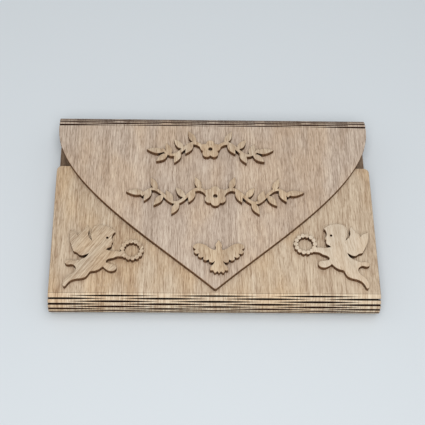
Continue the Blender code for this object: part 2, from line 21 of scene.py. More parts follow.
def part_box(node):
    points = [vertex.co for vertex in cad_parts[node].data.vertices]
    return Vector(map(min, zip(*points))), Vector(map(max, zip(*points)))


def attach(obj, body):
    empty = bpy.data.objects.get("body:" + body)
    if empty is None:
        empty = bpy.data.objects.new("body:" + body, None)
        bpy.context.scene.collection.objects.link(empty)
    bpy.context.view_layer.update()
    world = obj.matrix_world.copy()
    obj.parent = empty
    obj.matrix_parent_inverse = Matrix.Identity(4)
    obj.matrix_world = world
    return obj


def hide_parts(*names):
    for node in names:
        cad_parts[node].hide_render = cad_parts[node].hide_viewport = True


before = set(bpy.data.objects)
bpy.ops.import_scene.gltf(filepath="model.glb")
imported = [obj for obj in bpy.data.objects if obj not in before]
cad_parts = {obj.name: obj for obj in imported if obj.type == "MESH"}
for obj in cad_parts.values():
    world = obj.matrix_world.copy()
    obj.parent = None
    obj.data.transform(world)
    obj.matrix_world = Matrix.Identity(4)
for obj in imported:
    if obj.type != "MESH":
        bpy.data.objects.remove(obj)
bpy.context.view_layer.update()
print("nodes in the frame:", len(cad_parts))

# %% [markdown]
# The sizes that the dressed pieces need are measured on the frame, so that they follow the
# model if it changes.

# %% Measure the envelope
MM = 0.001

BACK_LOW, BACK_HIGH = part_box("back_panel")
FRONT_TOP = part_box("front_panel")[1].z
FLAP_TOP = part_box("flap")[1].z
SHEET = BACK_HIGH.z - BACK_LOW.z
FLAP_STRIPS = sum(1 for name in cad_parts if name.startswith("hinge_slat_"))
print("sheet", round(SHEET / MM, 2), "mm, strips in the flap hinge", FLAP_STRIPS)

# %% [markdown]
# ## How a living hinge is laid out
#
# Rows of slits run across the sheet, and between two rows lies a strip. Each row keeps a few
# short bridges of wood, and the next row has its bridges half a spacing further on, so a strip
# can twist from one to the next. Wrapped round an axis, all strips bend by the same share.
# Strip 0 is the back, and the last one is the front or the flap. A point counts as on a bridge
# until a little past the bridge's end, and as on a row up to about half a strip from it. The
# class keeps this in one place, because both hinges and the sheets next to them are finished by
# the same rules.

# %% Describe the two hinges
BOTTOM_STRIPS = 15
SLIT_SPACING = 55.0 * MM
BRIDGE_LENGTH = 5.0 * MM
BRIDGE_REACH = 0.6 * BRIDGE_LENGTH
EDGE_BRIDGE = 79.0 * MM
PARTING = 0.2 * MM
NEAR_ROW = 0.72 * MM


class Wrap:
    """A sheet wrapped in flat strips round an axis along X, from the back to the front or flap."""

    def __init__(self, strips, way, edge, top):
        self.strips = strips
        self.bend = math.pi / (strips + 1)
        self.way = way
        self.reach = top / 2.0
        pitch = 2.0 * (self.reach - SHEET / 2.0) * math.tan(self.bend / 2.0)
        self.axis = Vector((0.0, edge + way * (PARTING - pitch) / 2.0, self.reach))

    def out(self, strip):
        """Way out of a strip: down for the back, and up for the last sheet."""
        turn = strip * self.bend
        return Vector((0.0, self.way * math.sin(turn), -math.cos(turn)))

    def along(self, strip):
        """Way round the bend at a strip, away from the back."""
        turn = strip * self.bend
        return Vector((0.0, self.way * math.cos(turn), math.sin(turn)))

    def past(self, point, row):
        """How far a point lies past the middle of a row, away from the back."""
        return (point - self.axis).dot(self.along(self.strips - row + 0.5))

    def depth(self, point, strip):
        """How deep a point lies below the outer face of a strip."""
        return self.reach - (point - self.axis).dot(self.out(strip))


def off_bridge(row, x):
    """Distance along the row from x to the middle of the nearest bridge."""
    shift = 0.0 if row % 2 == 0 else SLIT_SPACING / 2.0
    return abs((x - shift + SLIT_SPACING / 2.0) % SLIT_SPACING - SLIT_SPACING / 2.0)


def on_bridge(row, x):
    """True where the row is uncut. Even rows are open at the sides, and odd rows are closed."""
    return off_bridge(row, x) < BRIDGE_REACH or (row % 2 == 1 and abs(x) > EDGE_BRIDGE)


def lens(row, x):
    """How far a slit gapes at x: 0 at a bridge, and 1 halfway between two or at an open end."""
    off = SLIT_SPACING / 2.0 if abs(x) > EDGE_BRIDGE and row % 2 == 0 else off_bridge(row, x)
    share = (off - BRIDGE_LENGTH / 2.0) / (SLIT_SPACING - BRIDGE_LENGTH)
    return math.sin(math.pi * max(share, 0.0))


BOTTOM_WRAP = Wrap(BOTTOM_STRIPS, -1.0, BACK_LOW.y, FRONT_TOP)
FLAP_WRAP = Wrap(FLAP_STRIPS, 1.0, BACK_HIGH.y, FLAP_TOP)
for wrap in (BOTTOM_WRAP, FLAP_WRAP):
    print(wrap.strips, "strips,", round(math.degrees(wrap.bend), 2), "degrees each, axis", wrap.axis)

# %% [markdown]
# ## The camera
#
# The photo looks down on the envelope from its bottom edge with a long lens, so the sides
# hardly converge. The camera could be moved by hand until it looks right, but a fit to the
# envelope's corners is closer. Its place, the way it looks and the way its top points come from
# that fit, and are given here as three vectors.

# %% Place the camera
CAMERA_PLACE = Vector((-0.02139, -0.30353, 0.53114))
CAMERA_LOOK = Vector((0.034266, 0.502150, -0.864102))
CAMERA_TOP = Vector((-0.007647, 0.864716, 0.502203))
CAMERA_LENS = 89.62
CAMERA_SENSOR = 36.0

camera_data = bpy.data.cameras.new("camera")
camera_data.lens = CAMERA_LENS
camera_data.sensor_width = CAMERA_SENSOR
camera = bpy.data.objects.new("camera", camera_data)
bpy.context.scene.collection.objects.link(camera)
back = -CAMERA_LOOK.normalized()
right = CAMERA_TOP.cross(back).normalized()
turn = Matrix((right, back.cross(right), back)).transposed()
camera.matrix_world = Matrix.Translation(CAMERA_PLACE) @ turn.to_4x4()
bpy.context.scene.camera = camera
print("camera", round(CAMERA_PLACE.length, 3), "m from the envelope")

# %% [markdown]
# ## Light
#
# The light in the photo is soft. Most of it comes from the camera's side: the front is a little
# brighter than the flap, and the strips that turn away at the top are the darkest. A narrow soft
# shadow in front of the bottom edge shows that some of it falls from straight above. So a large
# area lamp stands near the camera, a weaker one hangs overhead, and the world does the rest.
# A picture of a room would light it as softly, but lamps can be moved one by one until the
# shadow is right. Together they light a surface that faces up to about the colour it is given.

# %% Add the lamps and the world
KEY_PLACE = Vector((-0.02, -0.46, 0.80))
KEY_SIZE = 0.55
KEY_POWER = 4.5
OVERHEAD_PLACE = Vector((0.05, 0.06, 0.95))
OVERHEAD_SIZE = 0.60
OVERHEAD_POWER = 2.0
WORLD_COLOUR = (0.95, 0.98, 1.0, 1.0)
WORLD_STRENGTH = 0.37


def add_lamp(name, place, size, power):
    """Square area lamp that looks at the envelope."""
    lamp = bpy.data.lights.new(name, "AREA")
    lamp.shape = "SQUARE"
    lamp.size = size
    lamp.energy = power
    holder = bpy.data.objects.new(name, lamp)
    bpy.context.scene.collection.objects.link(holder)
    holder.location = place
    holder.rotation_euler = (-place).to_track_quat("-Z", "Y").to_euler()


add_lamp("key_lamp", KEY_PLACE, KEY_SIZE, KEY_POWER)
add_lamp("overhead_lamp", OVERHEAD_PLACE, OVERHEAD_SIZE, OVERHEAD_POWER)

world = bpy.data.worlds.new("studio")
bpy.context.scene.world = world
world.use_nodes = True
sky = world.node_tree.nodes["Background"]
sky.inputs["Color"].default_value = WORLD_COLOUR
sky.inputs["Strength"].default_value = WORLD_STRENGTH
bpy.context.scene.view_settings.view_transform = "Standard"
print("lamps:", [light.name for light in bpy.data.lights])

# %% [markdown]
# ## The floor
#
# The envelope lies on a plain pale table top. A curved backdrop would hide the horizon, but this
# camera looks steeply down and never sees one, so a single plane is enough. It is far larger than
# the envelope, which keeps its edge out of the picture, and lies a hair below it, so that the
# two faces don't share one place.

# %% Lay the floor
FLOOR_SIZE = 6.0
FLOOR_DROP = 0.0002
FLOOR_COLOUR = (0.70, 0.74, 0.77, 1.0)
FLOOR_ROUGHNESS = 0.9

bpy.ops.object.select_all(action="DESELECT")
bpy.ops.mesh.primitive_plane_add(size=FLOOR_SIZE, location=(0.0, 0.0, -FLOOR_DROP))
floor = bpy.context.object
floor.name = "floor"
paper = bpy.data.materials.new("pale_floor")
paper.use_nodes = True
paper_shader = paper.node_tree.nodes["Principled BSDF"]
paper_shader.inputs["Base Color"].default_value = FLOOR_COLOUR
paper_shader.inputs["Roughness"].default_value = FLOOR_ROUGHNESS
floor.data.materials.append(paper)
print("floor", FLOOR_SIZE, "m wide")

# %% [markdown]
# ## Colours and nodes
#
# A finish is a graph of nodes. It could be drawn by hand in the Shader editor, but the veneers
# and the burnt finishes share most of their nodes, so each kind of node gets a short helper
# here. The colours of wood are given as a screen shows them, and turned into the linear light
# that the nodes work in.

# %% Helpers for materials
WHITE = (1.0, 1.0, 1.0, 1.0)
BLACK = (0.0, 0.0, 0.0, 1.0)
MIX_FACTOR, MIX_FIRST, MIX_SECOND, MIX_COLOUR = 0, 6, 7, 2
LAST_STOP = 1.0


def screen(red, green, blue):
    """Linear colour from the 0 to 255 values that a screen shows, by the usual sRGB curve."""
    parts = []
    for value in (red, green, blue):
        share = value / 255.0
        parts.append(share / 12.92 if share < 0.04045 else ((share + 0.055) / 1.055) ** 2.4)
    return (*parts, 1.0)


def plug(tree, socket, value):
    """Set a socket to a value, or link it to another socket."""
    if isinstance(value, bpy.types.NodeSocket):
        tree.links.new(value, socket)
    else:
        socket.default_value = value


def new_finish(name, specular):
    """New material, with its node tree and its shader."""
    material = bpy.data.materials.new(name)
    material.use_nodes = True
    shader = material.node_tree.nodes["Principled BSDF"]
    shader.inputs["Specular IOR Level"].default_value = specular
    return material, material.node_tree, shader


def mixed(tree, factor, first, second, blend="MIX"):
    """Mix of two colours. The Mix node's colour sockets share their names, so they go by number."""
    node = tree.nodes.new("ShaderNodeMix")
    node.data_type = "RGBA"
    node.blend_type = blend
    plug(tree, node.inputs[MIX_FACTOR], factor)
    plug(tree, node.inputs[MIX_FIRST], first)
    plug(tree, node.inputs[MIX_SECOND], second)
    return node.outputs[MIX_COLOUR]


def computed(tree, operation, first, second):
    """Result of a Math node."""
    node = tree.nodes.new("ShaderNodeMath")
    node.operation = operation
    plug(tree, node.inputs[0], first)
    plug(tree, node.inputs[1], second)
    return node.outputs[0]


def ramp(tree, value, *stops):
    """Colour ramp through (place, colour) stops. New ones are added at the end and then placed."""
    node = tree.nodes.new("ShaderNodeValToRGB")
    plug(tree, node.inputs[0], value)
    elements = node.color_ramp.elements
    while len(elements) < len(stops):
        elements.new(LAST_STOP)
    for element, (place, colour) in zip(elements, stops):
        element.position = place
        element.color = colour
    return node.outputs[0]


print("a screen's middle grey is", round(screen(128, 128, 128)[0], 3), "in linear light")

# %% [markdown]
# ## Wood
#
# The face veneer is pale and a little grey, with fine streaks along the grain. A photo of wood
# would be the quick way, but it would have to be lined up on every piece. Noise that is squeezed
# across the grain and stretched along it gives streaks of any width and length instead, and a
# Mapping node of the Texture kind is made for that: its scale is the size of one streak in
# metres, and its turn is the way the grain runs. Both hinges wrap round the width, so a streak
# is as long in Z as it is in Y, and goes over the bend without a break.

# %% Helpers for grain
BAND = (6.0 * MM, 120.0 * MM)
LINE = (0.9 * MM, 20.0 * MM)
FIBRE = (0.36 * MM, 6.0 * MM)
PORE = (0.26 * MM, 3.6 * MM)
FLECK = (0.5 * MM, 4.0 * MM)
PATCH = (15.0 * MM, 34.0 * MM)


def raise_by(tree, shader, height, relief, strength):
    """Let a height from 0 to 1 raise the surface by this relief."""
    bump = tree.nodes.new("ShaderNodeBump")
    bump.inputs["Strength"].default_value = strength
    bump.inputs["Distance"].default_value = relief
    tree.links.new(height, bump.inputs["Height"])
    tree.links.new(bump.outputs["Normal"], shader.inputs["Normal"])


def streaks(tree, width, length, grain_turn=0.0, shift=(0.0, 0.0, 0.0), detail=2.0, height=None):
    """Noise about 0.5 in streaks this wide across the grain and this long along it and in Z."""
    place = tree.nodes.new("ShaderNodeTexCoord")
    mapping = tree.nodes.new("ShaderNodeMapping")
    mapping.vector_type = "TEXTURE"
    mapping.inputs["Location"].default_value = shift
    mapping.inputs["Rotation"].default_value = (0.0, 0.0, grain_turn)
    mapping.inputs["Scale"].default_value = (width, length, height or length)
    noise = tree.nodes.new("ShaderNodeTexNoise")
    noise.inputs["Scale"].default_value = 1.0
    noise.inputs["Detail"].default_value = detail
    tree.links.new(place.outputs["Object"], mapping.inputs["Vector"])
    tree.links.new(mapping.outputs["Vector"], noise.inputs["Vector"])
    return noise.outputs["Fac"]


print("fibres are", FIBRE[0] / MM, "mm wide and", FIBRE[1] / MM, "mm long")

# %% [markdown]
# A finish is mixed from broad bands, streaks as wide as a pencil line, and fibres as fine as a
# hair. Short dark pores and a few pale flecks lie over them. The same fibres and pores also
# raise and sink the surface a little, which breaks up the light as sanded veneer does.

# %% Make the veneer finish
BAND_SHARE, LINE_SHARE, FIBRE_SHARE = 0.22, 0.36, 0.42
DARK_AT, PLAIN_AT, PALE_AT = 0.38, 0.50, 0.62
TINT_FROM, TINT_FULL, TINT_STRENGTH = 0.40, 0.64, 0.6
PORE_FROM, PORE_FULL, PORE_STRENGTH = 0.57, 0.66, 0.50
FLECK_FROM, FLECK_FULL, FLECK_STRENGTH = 0.60, 0.70, 0.35
PORE_SHIFT = 0.1
FLECK_SHIFT = 0.2
PORE_SINK = 0.5
GRAIN_RELIEF = 0.08 * MM
GRAIN_RELIEF_STRENGTH = 0.35
SMOOTH_WOOD = (0.62, 0.62, 0.62, 1.0)
ROUGH_WOOD = (0.80, 0.80, 0.80, 1.0)
SMOOTH_AT, ROUGH_AT = 0.3, 0.7
WOOD_SPECULAR = 0.25


def veneer(name, dark, plain, pale, warm, grain_turn, shift):
    """Face of the plywood: three tones from dark to pale, and a warm tint in blotches."""
    material, tree, shader = new_finish(name, WOOD_SPECULAR)
    bands = streaks(tree, *BAND, grain_turn, shift)
    lines = streaks(tree, *LINE, grain_turn, shift)
    fibres = streaks(tree, *FIBRE, grain_turn, shift)
    pores = streaks(tree, *PORE, grain_turn, (shift[0] + PORE_SHIFT, shift[1], shift[2]), 1.0)
    flecks = streaks(tree, *FLECK, grain_turn, (shift[0] + FLECK_SHIFT, shift[1], shift[2]), 1.0)
    patches = streaks(tree, *PATCH, grain_turn, shift, 1.0)

    tone = computed(tree, "MULTIPLY", bands, BAND_SHARE)
    tone = computed(tree, "ADD", tone, computed(tree, "MULTIPLY", lines, LINE_SHARE))
    tone = computed(tree, "ADD", tone, computed(tree, "MULTIPLY", fibres, FIBRE_SHARE))
    colour = ramp(tree, tone, (DARK_AT, dark), (PLAIN_AT, plain), (PALE_AT, pale))
    tint = ramp(tree, patches, (TINT_FROM, BLACK), (TINT_FULL, WHITE))
    tint = computed(tree, "MULTIPLY", tint, TINT_STRENGTH)
    colour = mixed(tree, tint, colour, warm, "MULTIPLY")
    pore_marks = ramp(tree, pores, (PORE_FROM, BLACK), (PORE_FULL, WHITE))
    darkened = computed(tree, "MULTIPLY", pore_marks, PORE_STRENGTH)
    colour = mixed(tree, darkened, colour, dark, "MULTIPLY")
    fleck_marks = ramp(tree, flecks, (FLECK_FROM, BLACK), (FLECK_FULL, WHITE))
    colour = mixed(tree, computed(tree, "MULTIPLY", fleck_marks, FLECK_STRENGTH), colour, pale)
    tree.links.new(colour, shader.inputs["Base Color"])

    height = computed(tree, "SUBTRACT", fibres, computed(tree, "MULTIPLY", pore_marks, PORE_SINK))
    raise_by(tree, shader, height, GRAIN_RELIEF, GRAIN_RELIEF_STRENGTH)
    roughness = ramp(tree, lines, (SMOOTH_AT, SMOOTH_WOOD), (ROUGH_AT, ROUGH_WOOD))
    tree.links.new(roughness, shader.inputs["Roughness"])
    return material


print("shares of bands, lines and fibres:", BAND_SHARE, LINE_SHARE, FIBRE_SHARE)

# %% [markdown]
# One veneer could serve for all, but then every piece would look cut from the same spot. So the
# finishes differ in their tones, in the turn of their grain and in the part of the board. The
# strips of the bottom hinge go on with the front's grain, and those of the flap hinge take the
# flap's finish, because the sheet runs through there. The bottom strips are lighter than the
# front: painted light, for the light they catch as they turn towards the lamp. The inside is
# darker: painted shade, for the shade that lies under the flap. The right cherub is from a
# lighter board.

# %% Choose the boards
# dark, plain and pale tone, and the warm tint
WARM = screen(255, 243, 226)
WARMER = screen(255, 241, 222)
FLAP_TONES = (screen(162, 141, 123), screen(195, 175, 157), screen(218, 201, 182), screen(255, 245, 230))
FRONT_TONES = (screen(170, 144, 119), screen(202, 180, 154), screen(223, 204, 179), screen(255, 242, 222))
# painted shade: the inside tones are darker than the outer faces' to stand for the shade under the flap
SHADED_INSIDE_TONES = (screen(102, 80, 63), screen(132, 109, 89), screen(158, 135, 113), WARM)
BACK_TONES = (screen(156, 129, 107), screen(194, 170, 146), screen(220, 200, 174), WARMER)
# painted light: the bottom strips are lighter than the front to stand for the light they catch as they
# turn towards the lamp
LIT_STRIP_TONES = (screen(179, 153, 126), screen(218, 196, 168), screen(238, 221, 195), screen(255, 243, 228))
LIGHT_TONES = (screen(198, 178, 154), screen(214, 196, 173), screen(227, 211, 190), screen(255, 245, 234))
CUT_OUT_TONES = (screen(168, 143, 118), screen(198, 177, 152), screen(220, 203, 179), WARM)

# finish, tones, turn of the grain in degrees, and which part of the board it is cut from
BOARDS = (
    ("flap", FLAP_TONES, 0.0, (0.013, 0.05, 0.0)),
    ("front", FRONT_TONES, 0.0, (0.31, 0.02, 0.0)),
    # the darker inside finish, which carries painted shade
    ("shaded_inside", SHADED_INSIDE_TONES, 0.0, (0.44, 0.37, 0.0)),
    ("back", BACK_TONES, 0.0, (0.57, 0.11, 0.0)),
    # the bottom strips take the lighter tones, as painted light
    ("strip", LIT_STRIP_TONES, 0.0, (0.31, 0.02, 0.0)),
    ("left_cherub", CUT_OUT_TONES, -36.0, (0.8, 0.3, 0.0)),
    ("right_cherub", LIGHT_TONES, 6.0, (0.9, 0.7, 0.0)),
    ("cut_out", CUT_OUT_TONES, 3.0, (0.5, 0.9, 0.0)),
    ("spacer", BACK_TONES, 0.0, (0.2, 0.6, 0.0)),
)
finishes = {}
for board, tones, grain_degrees, shift in BOARDS:
    finishes[board] = veneer(board + "_veneer", *tones, math.radians(grain_degrees), shift)
print("veneers:", len(finishes))

# %% [markdown]
# A laser burns through the sheet, so every wall is brown to black, with its plies still to be
# told apart: two outer plies, two dark lines of glue and a core whose grain is seen end on. The
# finish reads how deep a point lies in the sheet from an attribute, called ply, that is written
# on each piece at the end. It is 0 on the outer face and 1 on the inner one. Faint furrows that
# the pulses of the laser left run down the wall. The walls in the slits of the hinges get a much
# darker finish than an outline: painted shade, for the shade that fills such a narrow slit. A
# second attribute is 1 where two walls of an outline nearly meet, as in a cherub's eye, and
# darkens them there: partly a deeper scorch, partly painted shade for the shade in so narrow a gap.

# %% Make the burnt finishes
# colour that darkens walls in narrow gaps: a deeper scorch and painted shade
SCORCH_AND_SHADE_COLOUR = screen(118, 106, 96)
WANDER_SIZE = 6.0 * MM
WANDER_DEPTH = 0.06
PLY_ENDS, GLUE_AT, CORE_STARTS = 0.29, 0.33, 0.38
CORE_ENDS, FAR_GLUE_AT, FAR_PLY_STARTS = 0.67, 0.71, 0.76
FURROW_WIDTH = 0.7 * MM
FURROW_LENGTH = 8.0 * MM
FURROW_DARK = screen(176, 168, 160)
SOOT_SIZE = 0.35 * MM
SOOT_RELIEF = 0.1 * MM
SOOT_RELIEF_STRENGTH = 0.4
CHAR_ROUGHNESS = 0.85
RIM_ROUGHNESS = 0.8
CHAR_SPECULAR = 0.2
TOAST_WIDTH, TOAST_LENGTH = 1.4 * MM, 5.0 * MM
TOAST_DARK, TOAST_PALE = screen(122, 92, 66), screen(176, 144, 112)
MARKS_FROM, MARKS_FULL = 0.35, 0.65
FINE_DETAIL = 3.0


def noted(tree, name):
    """Value of an attribute that is noted on a piece's points."""
    node = tree.nodes.new("ShaderNodeAttribute")
    node.attribute_name = name
    return node.outputs["Fac"]


def burnt(name, ply_colour, glue_colour, core_colour):
    """Wall left by the laser: two outer plies, two glue lines and a core."""
    material, tree, shader = new_finish(name, CHAR_SPECULAR)
    wander = computed(tree, "MULTIPLY", streaks(tree, WANDER_SIZE, WANDER_SIZE), WANDER_DEPTH)
    depth = computed(tree, "ADD", noted(tree, "ply"), wander)
    layers = ramp(tree, depth, (0.0, ply_colour), (PLY_ENDS, ply_colour), (GLUE_AT, glue_colour),
                  (CORE_STARTS, core_colour), (CORE_ENDS, core_colour), (FAR_GLUE_AT, glue_colour),
                  (FAR_PLY_STARTS, ply_colour), (1.0, ply_colour))
    furrows = streaks(tree, FURROW_WIDTH, FURROW_WIDTH, detail=FINE_DETAIL, height=FURROW_LENGTH)
    furrow_marks = ramp(tree, furrows, (MARKS_FROM, FURROW_DARK), (MARKS_FULL, WHITE))
    colour = mixed(tree, 1.0, layers, furrow_marks, "MULTIPLY")
    # darken walls where another wall is near: a deeper scorch and painted shade
    colour = mixed(tree, noted(tree, "scorch_and_shade"), colour, SCORCH_AND_SHADE_COLOUR, "MULTIPLY")
    tree.links.new(colour, shader.inputs["Base Color"])
    raise_by(tree, shader, streaks(tree, SOOT_SIZE, SOOT_SIZE), SOOT_RELIEF, SOOT_RELIEF_STRENGTH)
    shader.inputs["Roughness"].default_value = CHAR_ROUGHNESS
    return material


def toasted_rim():
    """Rim that the laser has only browned."""
    material, tree, shader = new_finish("toasted_rim", CHAR_SPECULAR)
    marks = streaks(tree, TOAST_WIDTH, TOAST_LENGTH, detail=FINE_DETAIL)
    toast = ramp(tree, marks, (MARKS_FROM, TOAST_DARK), (MARKS_FULL, TOAST_PALE))
    tree.links.new(toast, shader.inputs["Base Color"])
    shader.inputs["Roughness"].default_value = RIM_ROUGHNESS
    return material


CUT = burnt("burnt_outline", screen(146, 112, 82), screen(76, 52, 35), screen(116, 86, 61))
# slit walls much darker than an outline's: painted shade for the inside of a narrow slit
SHADED_SLIT = burnt("shaded_burnt_slit", screen(66, 34, 19), screen(34, 17, 9), screen(50, 25, 14))
RIM = toasted_rim()
print("burnt finishes:", CUT.name, SHADED_SLIT.name, RIM.name)

# %% [markdown]
# ## From a node to a dressed piece
#
# Each piece could be modelled anew, but its outline and its place would have to be measured
# again, so it starts as a copy of a node. The copy is loose triangles, so they are first joined,
# and flat areas are made one face each. Then the rims, where a face of the sheet meets a wall,
# are picked by the way their two faces point and bevelled: a laser leaves no razor edge. A face
# that looks the way the sheet does gets veneer, one across it is a burnt wall, and what lies
# between them is rim.

# %% Copy a node and pick its faces
WELD = 0.001 * MM
FLAT = math.radians(0.4)
TWISTED = math.radians(3.0)
FACE_LIKE = 0.93
WALL_LIKE = 0.30


def only(piece):
    """Select this object alone and make it the active one."""
    bpy.ops.object.select_all(action="DESELECT")
    piece.select_set(True)
    bpy.context.view_layer.objects.active = piece


def clean_copy(node, name, weld=WELD, flat=FLAT):
    """Copy of a node with its triangles joined, its flat areas made one face, and short runs shut."""
    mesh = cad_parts[node].data.copy()
    mesh.materials.clear()
    mesh.name = name
    piece = bpy.data.objects.new(name, mesh)
    bpy.context.scene.collection.objects.link(piece)
    only(piece)
    bpy.ops.object.mode_set(mode="EDIT")
    bpy.ops.mesh.select_all(action="SELECT")
    bpy.ops.mesh.remove_doubles(threshold=WELD)
    bpy.ops.mesh.customdata_custom_splitnormals_clear()
    bpy.ops.mesh.dissolve_limited(angle_limit=flat)
    bpy.ops.mesh.remove_doubles(threshold=weld)
    bpy.ops.object.mode_set(mode="OBJECT")
    return piece


def facing(face, outward):
    """How squarely a face looks out of its sheet: 1 or -1 for its two faces, 0 for a wall."""
    return face.normal.dot(outward(face.calc_center_median()))


def pick_edges(piece, wanted):
    """Enter edit mode with just the edges selected for which wanted(edge) is true."""
    only(piece)
    bpy.ops.object.mode_set(mode="EDIT")
    bpy.ops.mesh.select_mode(type="EDGE")
    bpy.ops.mesh.select_all(action="DESELECT")
    shape = bmesh.from_edit_mesh(piece.data)
    shape.normal_update()
    for edge in shape.edges:
        edge.select = len(edge.link_faces) == 2 and wanted(edge)
    shape.select_flush_mode()
    bmesh.update_edit_mesh(piece.data)


print("points closer than", WELD / MM, "mm are joined")

# %% [markdown]
# The parts of a hinge need more. A bent strip gives way between its bridges, so a slit gapes
# like a lens: it is shut at a bridge and widest halfway to the next. The edge of a strip has no
# points along the way, so it is cut across at even steps first, to let it take that curve.

# %% Cut a strip across and find its walls
CUTS_PER_SPACING = 20.0
CROSS_CUT = SLIT_SPACING / CUTS_PER_SPACING
CROSS_CUT_SNAP = 0.6 * MM


def row_at(point, rows):
    """The (hinge, row) of this list that a point lies on, or None."""
    for wrap, row in rows:
        if abs(wrap.past(point, row)) < NEAR_ROW:
            return wrap, row
    return None


def cut_across(piece):
    """Cut a strip at even steps along X."""
    only(piece)
    bpy.ops.object.mode_set(mode="EDIT")
    steps = int(BACK_HIGH.x / CROSS_CUT)
    for step in range(-steps, steps + 1):
        bpy.ops.mesh.select_all(action="SELECT")
        bpy.ops.mesh.bisect(plane_co=(step * CROSS_CUT, 0.0, 0.0), plane_no=(1.0, 0.0, 0.0),
                            threshold=CROSS_CUT_SNAP)
    bpy.ops.object.mode_set(mode="OBJECT")


def wall_points(piece, outward):
    """Points of the piece that lie on a wall, and so on the edge of a slit or of the outline."""
    found = set()
    for face in piece.data.polygons:
        if abs(face.normal.dot(outward(face.center))) < WALL_LIKE:
            found.update(face.vertices)
    return [piece.data.vertices[index] for index in found]


print("strips are cut across every", round(CROSS_CUT / MM, 2), "mm")

# %% [markdown]
# In the engineering model the bridges of the flap hinge are parted by a hair, so that its strips
# can turn, and so are those that join the bottom hinge to the back and the front. On real wood
# a bridge runs through. At the glued hinge both sides of such a bridge are moved to where the
# two sheets meet. At the one that opens they are moved closer, and as much play is left as the
# opening needs.
#
# A slit could gape by the same width all along, but the photo shows it shut at the bridges, so
# its outer edges follow the curve of a lens. A glued slit gapes less near both ends of the bend.
# In the hinge that opens, slits are only ever made wider, so that no strips meet as they turn.
# The one exception is the row next to the flap, which is drawn closer near its bridges.

# %% Shape a row of slits
BRIDGE_CLOSER = 0.06 * MM
FIRST_SLIT = 0.07 * MM
FIRST_MOVING_SLIT = 0.19 * MM
GAPE = 0.70 * MM
FLATTER_START = 0.4
MOVING_GAPE = 0.62 * MM
SHALLOW = SHEET / 4.0


def half_slit(wrap, row, x, now, fixed):
    """Half the width of a slit at the outer face, when the model leaves it this wide now."""
    if row == wrap.strips:
        return now
    if row == 0 and fixed:
        return FIRST_SLIT
    if not fixed:
        return max(now if row else FIRST_MOVING_SLIT, MOVING_GAPE * lens(row, x))
    tightness = 1.0 - FLATTER_START * (1.0 - math.sin(math.pi * row / (wrap.strips + 1)))
    return GAPE * tightness * lens(row, x)


def shape_row(points, wrap, row, fixed):
    """Shut or close up the row's bridges on this piece's side, and let its slits gape.

    Where a glued hinge joins the back or the front, the outer, middle and inner points of a
    bridge move to where the two strips meet at that level.
    """
    corner = (wrap.out(wrap.strips - row + 0.5)) / math.cos(wrap.bend / 2.0)
    for vert in points:
        past = wrap.past(vert.co, row)
        if abs(past) > NEAR_ROW:
            continue
        strip = wrap.strips - row + (1 if past > 0.0 else 0)
        depth = wrap.depth(vert.co, strip)
        if on_bridge(row, vert.co.x):
            if fixed and row in (0, wrap.strips):
                level = wrap.reach - round(2.0 * depth / SHEET) * SHEET / 2.0
                meet = wrap.axis + corner * level
                vert.co = (vert.co.x, meet.y, meet.z)
            if fixed:
                continue
            goal = abs(past) - BRIDGE_CLOSER
        elif depth < SHALLOW:
            goal = half_slit(wrap, row, vert.co.x, abs(past), fixed)
        else:
            continue
        step = (math.copysign(goal, past) - past) / math.cos(wrap.bend / 2.0)
        vert.co += wrap.along(strip) * step


print("a slit gapes up to", 2.0 * GAPE / MM, "mm, and between moving strips", 2.0 * MOVING_GAPE / MM, "mm")

# %% [markdown]
# Rims are bevelled with two segments. The slits between two strips stay sharp, because they shut
# to nothing at their bridges and a rim would fold over itself there. Cut-outs first get their
# outline rounded: it is made of short straight runs in the engineering model, and where it turns
# only a little between two of them, the upright edge is bevelled as well. Their own rims are
# fine ones, because a wide rim would run over itself in the narrow notches between two petals.

# %% Round outlines and soften rims
RIM_WIDTH = 0.13 * MM
FINE_RIM_WIDTH = 0.08 * MM
SHORTEST_RUN = 0.2 * MM
SMOOTH_TURN = math.radians(55.0)
ROUNDING = 30.0
BEVEL_SEGMENTS = 2


def round_outline(piece, outward):
    """Bevel upright edges where the outline turns a little, so that its runs become curves."""
    def turns_a_little(edge):
        if max(abs(facing(face, outward)) for face in edge.link_faces) > WALL_LIKE:
            return False
        return FLAT < edge.calc_face_angle() < SMOOTH_TURN

    pick_edges(piece, turns_a_little)
    bpy.ops.mesh.bevel(offset_type="PERCENT", offset_pct=ROUNDING, segments=BEVEL_SEGMENTS)
    bpy.ops.object.mode_set(mode="OBJECT")


def soften_rims(piece, outward, width=RIM_WIDTH, rows=()):
    """Bevel the edges where a face of the sheet meets a wall, but not along the rows of a hinge."""
    def is_rim(edge):
        first, second = (abs(facing(face, outward)) for face in edge.link_faces)
        if max(first, second) < FACE_LIKE or min(first, second) > WALL_LIKE:
            return False
        start, end = (vert.co for vert in edge.verts)
        across = abs(end.x - start.x) < (end - start).length / 2.0
        return across or not any(row_at(vert.co, rows) for vert in edge.verts)

    pick_edges(piece, is_rim)
    bpy.ops.mesh.bevel(offset=width, segments=BEVEL_SEGMENTS, clamp_overlap=False, loop_slide=False)
    bpy.ops.object.mode_set(mode="OBJECT")


print("rims are", RIM_WIDTH / MM, "mm wide, fine ones", FINE_RIM_WIDTH / MM, "mm")

# %% [markdown]
# Last, each face gets its finish, and each point notes its depth in the sheet. The inner faces
# of the sheet get a darker finish than the outer ones: painted shade, for the shade that lies
# under the flap. In a hole as small as a cherub's eye or a gap as narrow as the one behind its
# head, two walls face each other closely and are darkened: partly a deeper scorch, partly painted
# shade for the shade in so narrow a gap. A ray from the middle of each wall finds how near the
# next wall is.

